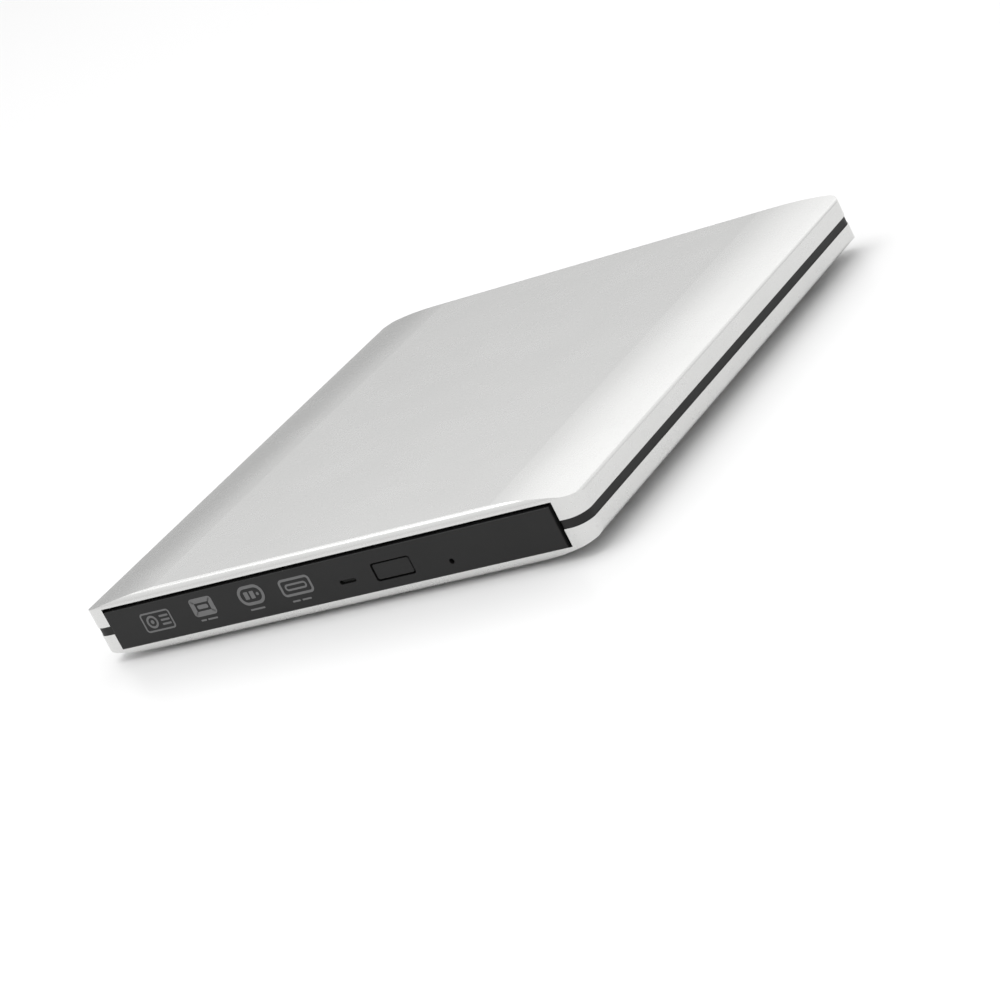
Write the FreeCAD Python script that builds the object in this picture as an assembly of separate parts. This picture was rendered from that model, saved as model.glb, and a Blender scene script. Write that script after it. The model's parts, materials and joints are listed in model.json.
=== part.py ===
"""External optical drive: a slim disc drive in a two-shell aluminium case with a sliding tray.

Millimetres. +X is to the right seen from the front, +Y runs from the front to the back, +Z is up.
The origin is the centre of the footprint, on the surface that the rubber feet stand on.
"""

import FreeCAD
import Part
import math
import os

V = FreeCAD.Vector
X_AXIS, Y_AXIS, Z_AXIS = V(1, 0, 0), V(0, 1, 0), V(0, 0, 1)

# ---------------------------------------------------------------- driving dimensions
foot_height = 0.9            # rubber foot below the bottom shell
case_width = 141.0
case_front, case_back = -72.4, 73.0
case_height = 14.8           # shell to shell, without the feet
case_corner_radius = 4.2     # corners seen from above
shell_thickness = 1.0
crown_width = 22.0           # strip along each side where the shells curve towards the edge
crown_drop_top = 1.9
crown_drop_bottom = 2.5
roll_radius = 1.7            # rolled front and back edges of the shells
edge_radius = 0.8            # small round on the crisp side edges

opening_width, opening_height = 128.8, 10.7
opening_lip = 2.2            # shell height below the front opening
band_low, band_height, band_inset = 4.15, 2.1, 0.2   # band_low is above the opening's foot

bezel_width, bezel_height, bezel_thickness = 127.4, 9.7, 2.0
bezel_front = -73.0
bezel_foot_gap = 0.25        # bezel above the opening's lower edge

button_x, button_z = 19.1, 6.8        # z above the bottom shell
button_width, button_height = 10.1, 3.8
button_gap = 0.35            # clearance round the button
led_x, led_z, led_width, led_height = 6.2, 6.3, 4.6, 1.0
led_recess = 0.6             # lamp window behind the bezel's face
pinhole_x, pinhole_z, pinhole_radius = 34.5, 5.4, 0.65

sheet = 0.5                  # steel sheet of the drive's pan and cover
drive_half_width = 63.8
drive_front, drive_back = -70.6, 55.4
pan_floor_low, cover_high = 3.5, 13.1

disc_y = -8.5                # spindle axis
well_radius, well_floor, rim_top = 60.9, 9.6, 11.6
tray_front, tray_back = -71.0, 54.0
tray_half_width, tray_body_half_width = 62.9, 61.2
tray_wall = 1.4
bay_back = 30.0              # the deep mechanism bay ends here; behind it the tray is a thin plate
tray_under = 4.8             # underside of the tray's walls

rail_front, rail_back = -64.0, 54.0
rail_low, rail_high = 4.8, 8.4
rail_sheet = 0.4

sled_angle = 225.0           # direction in which the pickup moves, from the spindle to the front left
lens_start = 24.0            # lens to spindle with the pickup fully in
plate_low, plate_high = 5.3, 5.7       # steel frame that carries motor, rods and screw
rod_offset, rod_radius, rod_z = 17.0, 0.75, 6.9
rod_start, rod_end = 4.0, 64.5
screw_offset, screw_radius, screw_end = 21.5, 1.0, 60.0
screw_pitch = 3.0

rotor_radius, rotor_low, rotor_top = 14.0, 6.1, 9.2
turntable_radius, turntable_top, disc_seat = 15.0, 10.0, 10.2
hub_radius, hub_top = 7.4, 12.1
claw_count, claw_low = 3, 10.85
claw_reach = 0.25            # how far a claw's nose stands out of the hub

latch_x, latch_y = 50.8, -51.5         # latch lever's pivot
latch_low, latch_high = 5.6, 6.6
latch_release = 20.0                   # degrees between hooked and released
plunger_stroke, plunger_z = 2.0, 6.4

# ---------------------------------------------------------------- worked out from them
shell_low = foot_height
shell_high = foot_height + case_height
opening_low = shell_low + opening_lip
opening_high = opening_low + opening_height
band_bottom = opening_low + band_low
band_top = band_bottom + band_height
bezel_low = opening_low + bezel_foot_gap
bezel_high = bezel_low + bezel_height
case_centre_y = (case_front + case_back) / 2
case_depth = case_back - case_front
pan_floor = pan_floor_low + sheet
cover_low = cover_high - sheet
bezel_back = bezel_front + bezel_thickness
spindle = V(0, disc_y, 0)


# ---------------------------------------------------------------- helpers
def box(x0, x1, y0, y1, z0, z1):
    return Part.makeBox(x1 - x0, y1 - y0, z1 - z0, V(x0, y0, z0))


def post(x, y, z0, z1, radius):
    return Part.makeCylinder(radius, z1 - z0, V(x, y, z0), Z_AXIS)


def rod(start, end, radius):
    return Part.makeCylinder(radius, (end - start).Length, start, end - start)


def join(shapes):
    first, rest = shapes[0], list(shapes[1:])
    return first.fuse(rest).removeSplitter() if rest else first


def outline(edges):
    return Part.Face(Part.Wire(edges))


def rounded_plate(x0, x1, y0, y1, z0, z1, radius):
    """A plate with four round corners seen from above."""
    plate = box(x0, x1, y0, y1, z0, z1)
    upright = [e for e in plate.Edges if abs(e.tangentAt(e.FirstParameter).z) > 0.99]
    return plate.makeFillet(radius, upright)


def rounded_front(x0, x1, y0, y1, z0, z1, radius):
    """A block with four round corners seen from the front."""
    block = box(x0, x1, y0, y1, z0, z1)
    along = [e for e in block.Edges if abs(e.tangentAt(e.FirstParameter).y) > 0.99]
    return block.makeFillet(radius, along)


def to_sled_direction(shape):
    """Turns a shape drawn with the pickup moving along +X so that it moves along the real direction."""
    turned = shape.copy()
    turned.rotate(spindle, Z_AXIS, sled_angle)
    return turned


def along_sled(u0, u1, v0, v1, z0, z1):
    """A box given by its distance from the spindle along (u) and across (v) the pickup's path."""
    return to_sled_direction(box(u0, u1, disc_y + v0, disc_y + v1, z0, z1))


def spindle_disc(z0, z1, radius):
    return post(0, disc_y, z0, z1, radius)


def keep(name, shape):
    shape.exportStep(os.path.join("parts", name + ".step"))
    print(f"{name}: {len(shape.Solids)} solid(s), {shape.Volume:.1f} mm3, valid {shape.isValid()}")


# ---------------------------------------------------------------- case
def crown_arc(x_inner, z_inner, x_outer, z_outer):
    """Arc that leaves the flat part level and falls to the side edge."""
    run, drop = x_outer - x_inner, z_inner - z_outer
    radius = (run * run + drop * drop) / (2 * abs(drop))
    sign = 1 if drop > 0 else -1
    half = math.asin(abs(run) / radius) / 2
    middle = V(
        x_inner + math.copysign(radius * math.sin(half), run),
        0,
        z_inner - sign * radius * (1 - math.cos(half)),
    )
    return Part.Arc(V(x_inner, 0, z_inner), middle, V(x_outer, 0, z_outer)).toShape()


def case_block(inset):
    """The case's outer form, or its inside when inset is the shell's thickness."""
    half = case_width / 2 - inset
    flat = case_width / 2 - crown_width
    low, high = shell_low + inset, shell_high - inset
    side_low, side_high = low + crown_drop_bottom, high - crown_drop_top
    section = [
        Part.LineSegment(V(-flat, 0, high), V(flat, 0, high)).toShape(),
        crown_arc(flat, high, half, side_high),
        Part.LineSegment(V(half, 0, side_high), V(half, 0, side_low)).toShape(),
        crown_arc(flat, low, half, side_low),
        Part.LineSegment(V(flat, 0, low), V(-flat, 0, low)).toShape(),
        crown_arc(-flat, low, -half, side_low),
        Part.LineSegment(V(-half, 0, side_low), V(-half, 0, side_high)).toShape(),
        crown_arc(-flat, high, -half, side_high),
    ]
    across = outline(Part.__sortEdges__(section)).extrude(V(0, 2 * case_depth, 0))
    across.translate(V(0, -case_depth, 0))
    if inset == 0:
        crisp = [
            e for e in across.Edges
            if e.Length > case_depth and abs(abs(e.CenterOfMass.x) - half) < 0.01
        ]
        across = across.makeFillet(edge_radius, crisp)
    front, back = case_front + inset, case_back - inset
    rolled = box(-case_width, case_width, front, back, low, high)
    long_edges = [e for e in rolled.Edges if abs(e.tangentAt(e.FirstParameter).x) > 0.99]
    rolled = rolled.makeFillet(roll_radius, long_edges)
    plan = rounded_plate(-half, half, front, back, low - 5, high + 5, case_corner_radius - inset)
    return across.common(rolled).common(plan)


def front_opening():
    half = opening_width / 2
    return box(-half, half, case_front - 5, case_front + 4, opening_low, opening_high)


usb_x, usb_width, usb_height, usb_low = 18.0, 12.6, 3.2, 7.0
jack_x, jack_radius, jack_z = -22.0, 2.6, 9.2


def back_cutouts():
    socket = rounded_front(
        usb_x - usb_width / 2, usb_x + usb_width / 2, case_back - 6, case_back + 5,
        usb_low, usb_low + usb_height, 0.8,
    )
    return [socket, rod(V(jack_x, case_back - 6, jack_z), V(jack_x, case_back + 5, jack_z), jack_radius)]


def four_corners(across, along):
    """Four places, the same distance to each side of the case's middle."""
    return [(sx * across, case_centre_y + sy * along) for sx in (-1, 1) for sy in (-1, 1)]


foot_places = four_corners(54.0, 58.0)
foot_radius, foot_recess = 4.5, 0.5
foot_clearance = 0.15        # between a foot and the rim of its recess
screw_places = four_corners(66.3, 50.0)
screw_seat, screw_pad_top = 3.3, 4.3
screw_pad_radius, screw_boss_radius = 2.3, 2.2
screw_head_radius, screw_head_height, screw_shank_radius = 1.6, 0.65, 0.72
screw_top = 9.5
stud_radius, stud_pin_radius = 1.9, 1.0
sunk = 0.2                   # how far a post is sunk into the wall that carries it
board_low, board_high = 6.0, 7.0       # board at the back that joins the drive to the sockets
board_front, board_back = 57.2, 70.3
stud_places = [(x, y) for x in (-40, 40) for y in (60.0, 68.6)]


def make_shells():
    outer = case_block(0)
    hollow = outer.cut(case_block(shell_thickness)).cut([front_opening()] + back_cutouts())
    above = box(-100, 100, -100, 100, band_top, 30)
    below = box(-100, 100, -100, 100, -5, band_bottom)
    top = hollow.common(above)
    bottom = hollow.common(below)
    seats = [
        post(x, y, shell_low - 1, shell_low + foot_recess, foot_radius + foot_clearance)
        for x, y in foot_places
    ]
    pads = [post(x, y, shell_low, screw_pad_top, screw_pad_radius) for x, y in screw_places]
    inside_pads = join(pads).common(outer)
    recesses = [post(x, y, shell_low - 1, screw_seat, screw_head_radius + 0.15) for x, y in screw_places]
    holes = [post(x, y, shell_low, 8, 0.9) for x, y in screw_places]
    studs = []
    for x, y in stud_places:
        studs.append(post(x, y, shell_low + shell_thickness - sunk, board_low, stud_radius))
        studs.append(post(x, y, board_low - sunk, board_high + 0.5, stud_pin_radius))
    keep("top_shell", top)
    keep("bottom_shell", join([bottom, inside_pads] + studs).cut(seats + recesses + holes))


def ring(inset_out, inset_in, z0, z1):
    def plan(inset):
        half = case_width / 2 - inset
        return rounded_plate(
            -half, half, case_front + inset, case_back - inset, z0, z1,
            max(case_corner_radius - inset, 1.0),
        )
    return plan(inset_out).cut(plan(inset_in))


def make_band():
    """Black mid-frame: the strip that shows between the shells, its inner skirt, bosses and drive rests."""
    gap, skirt = 0.08, 2.5
    skirt_low, skirt_high, rest_high = 5.2, 12.2, 10.2
    strip = ring(band_inset, skirt, band_bottom, band_top)
    wall = ring(shell_thickness + gap, skirt, skirt_low, skirt_high)
    bosses = [post(x, y, screw_pad_top, skirt_high, screw_boss_radius) for x, y in screw_places]
    side = case_width / 2 - skirt
    rests = []
    for sign in (-1, 1):
        for y in (-40.0, 0.0, 40.0):
            a, b = sorted((sign * (drive_half_width + 0.05), sign * (side + 0.2)))
            rests.append(box(a, b, y - 2, y + 2, skirt_low, rest_high))
    frame = join([strip, wall] + bosses + rests)
    inside = case_block(shell_thickness + gap)
    keep_in = join([ring(band_inset, 8, band_bottom, band_top), inside])
    frame = frame.common(keep_in)
    holes = [post(x, y, 4, 10.5, 0.75) for x, y in screw_places]
    keep("side_band", frame.cut([front_opening()] + back_cutouts() + holes))


def cross_recess(x, y, z0, z1, length, width):
    return [
        box(x - length / 2, x + length / 2, y - width / 2, y + width / 2, z0, z1),
        box(x - width / 2, x + width / 2, y - length / 2, y + length / 2, z0, z1),
    ]


def make_feet_and_screws():
    feet = []
    for x, y in foot_places:
        foot = post(x, y, 0, shell_low + foot_recess, foot_radius)
        lower = [e for e in foot.Edges if abs(e.CenterOfMass.z) < 0.01]
        feet.append(foot.makeFillet(0.4, lower))
    keep("rubber_feet", Part.Compound(feet))
    screws = []
    for x, y in screw_places:
        head = post(x, y, screw_seat - screw_head_height, screw_seat, screw_head_radius)
        shank = post(x, y, screw_seat, screw_top, screw_shank_radius)
        recess = cross_recess(x, y, screw_seat - 0.7, screw_seat - 0.3, 1.8, 0.4)
        screws.append(join([head, shank]).cut(recess))
    keep("case_screws", Part.Compound(screws))


def make_foam():
    """Foam pads that hold the drive off the two shells."""
    places = [(sx * 30.0, y) for sx in (-1, 1) for y in (-58.0, 44.0)]
    low = [box(x - 8, x + 8, y - 5, y + 5, shell_low + shell_thickness, pan_floor_low) for x, y in places]
    high = [box(x - 8, x + 8, y - 5, y + 5, cover_high, shell_high - shell_thickness) for x, y in places]
    keep("foam_pads", Part.Compound(low + high))


# ---------------------------------------------------------------- bridge board behind the drive
def make_bridge_board():
    plate = box(-44, 44, board_front, board_back, board_low, board_high)
    holes = [post(x, y, board_low - 1, board_high + 1, 1.1) for x, y in stud_places]
    keep("bridge_board", plate.cut(holes))
    small = [box(-8, 0, 61, 69, board_high, board_high + 0.9)]
    small += [box(4 + 2.2 * i, 5.2 + 2.2 * i, 61.5, 62.2, board_high, board_high + 0.6) for i in range(3)]
    small += [box(-14.5, -11.3, 64, 66.5, board_high, board_high + 1.1)]
    small += [box(-34 + 2.4 * i, -33 + 2.4 * i, 60, 61.6, board_high, board_high + 0.7) for i in range(3)]
    small.append(post(31, 64.5, board_high, board_high + 4.6, 2.6))
    keep("bridge_board_parts", Part.Compound(small))


def make_usb_socket():
    """USB 3.0 Micro-B receptacle: a folded steel shell round two contact tongues."""
    half, wall = usb_width / 2 - 0.2, 0.25
    low = board_high + 0.15
    high = low + 2.7
    front, back = case_back - 8.5, case_back - 0.15
    shell = rounded_front(usb_x - half, usb_x + half, front, back, low, high, 0.6)
    divider = usb_x + 1.6
    ways = [
        rounded_front(x0, x1, front + wall, back + 1, low + wall, high - wall, 0.35)
        for x0, x1 in (
            (usb_x - half + wall, divider - wall / 2),
            (divider + wall / 2, usb_x + half - wall),
        )
    ]
    keep("usb_socket_shell", shell.cut(ways))
    mid = (low + high) / 2
    tongues = [
        box(usb_x - half + 1.3, divider - 1.3, front + wall, back - 1.0, mid - 0.35, mid + 0.35),
        box(divider + 0.9, usb_x + half - 0.9, front + wall, back - 1.0, mid - 0.35, mid + 0.35),
    ]
    keep("usb_socket_tongues", Part.Compound(tongues))


def make_power_jack():
    face = case_back - 2.65
    body = box(jack_x - 2.9, jack_x + 2.9, case_back - 9.5, face, board_high, jack_z + 2.7)
    barrel = rod(V(jack_x, face - 0.03, jack_z), V(jack_x, case_back - 0.15, jack_z), jack_radius - 0.15)
    bore = rod(V(jack_x, case_back - 8, jack_z), V(jack_x, case_back + 1, jack_z), 1.8)
    keep("power_jack", join([body, barrel]).cut(bore))
    pin = rod(V(jack_x, case_back - 8, jack_z), V(jack_x, case_back - 1.2, jack_z), 0.65)
    keep("power_jack_pin", pin)


def make_sata_link():
    low, high = board_high, board_high + 3.0
    socket = box(-16, 16, board_front, board_front + 3.2, low, high)
    slot = box(-14.6, 14.6, board_front - 1, board_front + 2.2, low + 0.8, high - 0.8)
    keep("sata_socket", socket.cut(slot))
    plug = join([
        box(-15.6, 15.6, drive_back - 6.5, drive_back - sheet, 5.6, 8.2),
        box(-14.2, 14.2, tray_back + 0.2, drive_back, 5.6, high - 0.9),
        box(-14.2, 14.2, drive_back - 0.1, board_front + 2.0, low + 0.9, high - 0.9),
    ])
    keep("sata_plug", plug)


# ---------------------------------------------------------------- the slim drive's fixed parts
latch_post_x, latch_post_y = 56.0, -62.5
drive_board_front, drive_board_back = 33.0, 48.5
drive_board_low, drive_board_high = 4.6, 5.4
tray_board_low, tray_board_high = 6.4, 7.2
cover_screw_places = [(-61.6, -52.0), (61.6, -52.0), (-61.6, 46.0), (61.6, 46.0)]
tab_low = 12.0


def make_drive_shell():
    outer = box(-drive_half_width, drive_half_width, drive_front, drive_back, pan_floor_low, cover_low)
    inner = box(
        -drive_half_width + sheet, drive_half_width - sheet, drive_front - 1, drive_back - sheet,
        pan_floor, cover_low + 1,
    )
    sata_hole = box(-16.2, 16.2, drive_back - 1, drive_back + 1, 5.4, 10.6)
    vents = [
        rounded_plate(-48 + 9 * i, -45.6 + 9 * i, -14, 10, pan_floor_low - 1, pan_floor + 1, 1.19)
        for i in range(5)
    ]
    tabs = []
    for x, y in cover_screw_places:
        a, b = sorted((math.copysign(60.2, x), math.copysign(drive_half_width - sheet + 0.1, x)))
        tabs.append(box(a, b, y - 2.5, y + 2.5, tab_low, cover_low))
    tab_holes = [post(x, y, tab_low - 1, cover_low + 1, 0.85) for x, y in cover_screw_places]
    rests = [
        post(x, y, pan_floor - 0.2, drive_board_low, 1.5) for x in (-50, 0, 52) for y in (36.5, 45.5)
    ]
    pan = join([outer.cut([inner, sata_hole] + vents)] + tabs + rests)
    keep("drive_pan", pan.cut(tab_holes))
    plate = box(-drive_half_width, drive_half_width, drive_front, drive_back, cover_low, cover_high)
    dish = spindle_disc(cover_high - 0.2, cover_high + 1, 48)
    dish = dish.cut(spindle_disc(cover_high - 1, cover_high + 2, 22))
    holes = [post(x, y, cover_low - 1, cover_high + 1, 0.85) for x, y in cover_screw_places]
    keep("drive_cover", plate.cut([dish] + holes))
    screws = []
    for x, y in cover_screw_places:
        head = post(x, y, cover_high, cover_high + 0.5, 1.6)
        screw = join([head, post(x, y, tab_low - 0.2, cover_high, 0.8)])
        screws.append(screw.cut(cross_recess(x, y, cover_high + 0.2, cover_high + 1, 1.6, 0.35)))
    keep("drive_screws", Part.Compound(screws))
    foot = post(latch_post_x, latch_post_y, pan_floor, pan_floor + 0.5, 1.6)
    keep("latch_post", join([foot, post(latch_post_x, latch_post_y, pan_floor, 6.9, 1.0)]))


def make_rail_guides():
    """Fixed plastic channels on the pan's side walls, with a screw block above at each end."""
    inner, outer = 61.5, drive_half_width - sheet
    guides = []
    for sign in (-1, 1):
        xa, xb = sorted((sign * inner, sign * outer))
        wa, wb = sorted((sign * (inner - 1), sign * 62.8))
        channel = box(xa, xb, drive_front + 0.6, drive_back - sheet, pan_floor, 9.1)
        groove = box(wa, wb, drive_front - 1, drive_back + 1, rail_low - 0.2, rail_high + 0.2)
        guides.append(channel.cut(groove))
    keep("rail_guides", Part.Compound(guides))


def make_drive_board():
    keep("drive_board", box(-56, 56, drive_board_front, drive_board_back, drive_board_low, drive_board_high))
    chips = [
        box(-44, -30, 36, 47, drive_board_high, 6.5),
        box(-24, -18, 37, 46, drive_board_high, 6.3),
        box(4, 12, 38, 45, drive_board_high, 6.4),
        box(ribbon_left - 1.5, ribbon_right + 1.5, ribbon_board_y, 38.0, pan_floor, drive_board_low),
    ]
    keep("drive_board_parts", Part.Compound(chips))


# ---------------------------------------------------------------- ribbon cable
ribbon_left, ribbon_right = 30.0, 46.0
ribbon_low, ribbon_high, ribbon_thick = 4.1, 5.3, 0.1
ribbon_fold_y, ribbon_board_y, ribbon_tray_y = -52.0, 34.4, 11.6  # reaches the open tray


def make_ribbon():
    """Flat flexible cable: a low run on the pan, a fold, and a high run back to the tray's board."""
    middle_z = (ribbon_low + ribbon_high) / 2

    def half_loop(reach):
        low, high = middle_z - reach, middle_z + reach
        return [
            Part.LineSegment(V(0, ribbon_board_y, low), V(0, ribbon_fold_y, low)).toShape(),
            Part.Arc(
                V(0, ribbon_fold_y, low), V(0, ribbon_fold_y - reach, middle_z), V(0, ribbon_fold_y, high)
            ).toShape(),
            Part.LineSegment(V(0, ribbon_fold_y, high), V(0, ribbon_tray_y, high)).toShape(),
        ]
    outer_reach = (ribbon_high - ribbon_low) / 2
    inner_reach = outer_reach - ribbon_thick
    low_end = Part.LineSegment(
        V(0, ribbon_board_y, middle_z - outer_reach), V(0, ribbon_board_y, middle_z - inner_reach)
    ).toShape()
    high_end = Part.LineSegment(
        V(0, ribbon_tray_y, middle_z + outer_reach), V(0, ribbon_tray_y, middle_z + inner_reach)
    ).toShape()
    edges = half_loop(outer_reach) + half_loop(inner_reach) + [low_end, high_end]
    profile = outline(Part.__sortEdges__(edges))
    profile.translate(V(ribbon_left, 0, 0))
    ribbon = profile.extrude(V(ribbon_right - ribbon_left, 0, 0))
    keep("ribbon_cable", ribbon)


# ---------------------------------------------------------------- tray and front
tray_floor_under = 8.4


def floor_opening():
    """Keyhole in the tray's floor: round at the spindle, straight along the pickup's path."""
    return [spindle_disc(0, 20, 18.6), to_sled_direction(
        rounded_plate(0, 62.0, disc_y - 17.6, disc_y + 17.6, 0, 20, 4.0))]


traverse_mounts = [(-19.0, -19.0), (-19.0, 19.0), (55.0, -24.0), (55.0, 25.5)]
ejector_x, ejector_z = 51.5, 7.0
ejector_lugs = (31.5, 50.5)
hook_places = (-48.0, 48.0)


def front_wall_openings():
    """Passages through the tray's front wall for button, light pipe, release pin and bezel hooks."""
    z = shell_low + button_z
    pocket = box(
        button_x - button_width / 2 - button_gap, button_x + button_width / 2 + button_gap,
        tray_front - 1, tray_front + 0.7,
        z - button_height / 2 - button_gap, z + button_height / 2 + button_gap,
    )
    deep = tray_front + tray_wall + 0.3
    stem = box(button_x - 1.4, button_x + 1.4, tray_front - 1, deep, z - 1.0, z + 0.6)
    light = box(led_x - 1.2, led_x + 1.2, tray_front - 1, deep, 6.5, 7.9)
    pin_z = shell_low + pinhole_z
    pin = rod(V(pinhole_x, tray_front - 1, pin_z), V(pinhole_x, deep, pin_z), pinhole_radius)
    hooks = [box(x - 1.6, x + 1.6, tray_front - 1, tray_front + 3.2, 9.4, 10.4) for x in hook_places]
    return [pocket, stem, light, pin] + hooks


def make_tray():
    wide = box(-tray_half_width, tray_half_width, tray_front, tray_back, 9.3, rim_top)
    body = box(-tray_body_half_width, tray_body_half_width, tray_front, tray_back, tray_under, 9.3)
    tongues = []
    for sign in (-1, 1):
        a, b = sorted((sign * tray_body_half_width, sign * 62.0))
        tongues.append(box(a, b, rail_front + 1, tray_back, 5.4, 7.8))
    solid = join([wide, body] + tongues)
    upright = [
        e for e in solid.Edges
        if abs(e.tangentAt(e.FirstParameter).z) > 0.99
        and abs(abs(e.CenterOfMass.x) - tray_half_width) < 0.01 and e.CenterOfMass.y > 0
    ]
    solid = solid.makeFillet(2.5, upright)
    inside = tray_body_half_width - tray_wall
    bay = box(-inside, inside, tray_front + tray_wall, bay_back - tray_wall, 0, tray_floor_under)
    rear = box(-inside, inside, bay_back, tray_back + 1, 0, tray_floor_under)
    well = spindle_disc(well_floor, 20, well_radius)
    step = spindle_disc(9.3, 20, well_radius - 2.2)
    scoops = []
    for angle in (-52.0, 128.0):
        a = math.radians(angle)
        scoops.append(post(
            (well_radius - 3) * math.cos(a), disc_y + (well_radius - 3) * math.sin(a), 9.3, 20, 10.5
        ))
    lighten = []
    for sx in (-1, 1):
        for sy, y_edge in ((-1, tray_front + 3.0), (1, tray_back - 2.5)):
            xa, xb = sorted((sx * 36.0, sx * inside))
            ya, yb = sorted((disc_y + sy * 20, y_edge))
            corner = box(xa, xb, ya, yb, tray_floor_under - 1, rim_top - 1.2)
            lighten.append(corner.cut(spindle_disc(0, 20, well_radius + 1.4)).cut(scoop_clearance(scoops)))
    post_way = box(latch_post_x - 2.2, latch_post_x + 2.2, latch_post_y, tray_back + 1, 0, 7.6)
    ribbon_way = box(ribbon_left - 2.5, ribbon_right + 2.5, 20, tray_back + 1, 0, 7.2)
    cuts = [bay, rear, well, step, post_way, ribbon_way] + scoops + lighten + floor_opening()
    threads = [post(x, y, 4, 7.7, 0.48) for x, y in under_screw_places]
    shell = solid.cut(cuts + front_wall_openings() + threads)
    bosses = []
    for u, v in traverse_mounts:
        boss = post(u, disc_y + v, plate_high + 0.05, tray_floor_under + 0.2, 1.3)
        bosses.append(to_sled_direction(boss.cut(post(u, disc_y + v, 0, 8.0, 0.8))))
    lugs = [
        box(ejector_x - 1.5, ejector_x + 1.5, y, y + 1.5, 5.9, rim_top - 1.0) for y in ejector_lugs
    ]
    bores = [rod(V(ejector_x, 20, ejector_z), V(ejector_x, tray_back + 5, ejector_z), 0.65)]
    pivot = post(latch_x, latch_y, latch_low - 0.3, rim_top - 1.0, 0.8)
    solid = join([shell, pivot] + bosses + lugs).cut(bores)
    keep("tray", solid)


def scoop_clearance(scoops):
    grown = []
    for s in scoops:
        c = s.CenterOfMass
        grown.append(post(c.x, c.y, 0, 20, 11.9))
    return grown


def make_under_cover():
    """Steel plate under the mechanism bay. It stops short of the ribbon and the latch channel."""
    plate = box(-61.1, ribbon_left - 3, tray_front + 0.1, bay_back - 0.4, tray_under - 0.4, tray_under)
    slots = [rounded_plate(-50 + 8 * i, -44.5 + 8 * i, 8, 9.4, 4, 5, 0.69) for i in range(6)]
    holes = [post(x, y, 4, 6, 0.5) for x, y in under_screw_places]
    keep("tray_under_cover", plate.cut(slots + holes))


def make_bezel():
    half = bezel_width / 2
    face = box(-half, half, bezel_front, bezel_back, bezel_low, bezel_high)
    front_edges = [e for e in face.Edges if abs(e.CenterOfMass.y - bezel_front) < 0.01]
    face = face.makeFillet(0.25, front_edges)
    button_hole = rounded_front(
        button_x - button_width / 2 - button_gap, button_x + button_width / 2 + button_gap,
        bezel_front - 1, bezel_back + 1,
        shell_low + button_z - button_height / 2 - button_gap,
        shell_low + button_z + button_height / 2 + button_gap, 0.7,
    )
    led_hole = rounded_front(
        led_x - led_width / 2, led_x + led_width / 2, bezel_front - 1, bezel_back + 1,
        shell_low + led_z - led_height / 2, shell_low + led_z + led_height / 2, 0.45,
    )
    pinhole = rod(
        V(pinhole_x, bezel_front - 1, shell_low + pinhole_z),
        V(pinhole_x, bezel_back + 1, shell_low + pinhole_z), pinhole_radius,
    )
    hooks = []
    for x in hook_places:
        arm = box(x - 1.5, x + 1.5, bezel_back - 0.2, tray_front + 3.9, 9.5, 10.1)
        barb = box(x - 1.5, x + 1.5, tray_front + 3.3, tray_front + 3.9, 10.1, 10.35)
        hooks += [arm, barb]
    keep("bezel", join([face.cut([button_hole, led_hole, pinhole])] + hooks))
    light = rounded_front(
        led_x - led_width / 2 + 0.03, led_x + led_width / 2 - 0.03, bezel_front + led_recess, bezel_back,
        shell_low + led_z - led_height / 2 + 0.03, shell_low + led_z + led_height / 2 - 0.03, 0.4,
    )
    pipe = box(led_x - 1.0, led_x + 1.0, bezel_back - 0.1, tray_front + tray_wall + 0.1, 6.7, 7.7)
    keep("led_light_pipe", join([light, pipe]))


def make_button():
    half, tall = button_width / 2, button_height / 2
    z = shell_low + button_z
    cap = rounded_front(
        button_x - half, button_x + half, bezel_front + 0.1, bezel_back - 0.2, z - tall, z + tall, 0.55
    )
    front_edges = [e for e in cap.Edges if abs(e.CenterOfMass.y - bezel_front - 0.1) < 0.01]
    stem = box(button_x - 1.0, button_x + 1.0, bezel_back - 0.3, bezel_back + 1.15, z - 0.7, z + 0.3)
    keep("eject_button", join([cap.makeFillet(0.2, front_edges), stem]))


def make_front_board():
    """Small board behind the bezel with the push switch and the indicator lamp."""
    low, high = tray_under + 0.2, tray_under + 0.8
    back = tray_front + 6.5
    front = tray_front + tray_wall + 0.2
    keep("front_board", box(1.0, 26.0, front, back, low, high))
    switch = box(button_x - 2.5, button_x + 2.5, front + 0.4, back - 0.6, high, high + 2.6)
    lamp = box(led_x - 0.8, led_x + 0.8, front + 0.2, front + 1.2, high, high + 2.2)
    keep("front_board_parts", Part.Compound([switch, lamp]))


# ---------------------------------------------------------------- boards and screws in the tray
under_screw_places = [(-60.3, -60.0), (-60.3, 0.0), (-60.3, 20.0), (-20.0, -70.1), (10.0, -70.1)]


def make_tray_board():
    keep("tray_board", box(28.0, 49.0, 10.0, 28.0, tray_board_low, tray_board_high))
    chips = [
        box(31, 38, 17.5, 24.5, tray_board_high, tray_board_high + 0.9),
        box(41, 46, 18, 21.5, tray_board_high, tray_board_high + 0.7),
        box(ribbon_left - 1.5, ribbon_right + 1.5, ribbon_tray_y, 15.0, 5.1, tray_board_low),
    ]
    keep("tray_board_parts", Part.Compound(chips))


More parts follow.
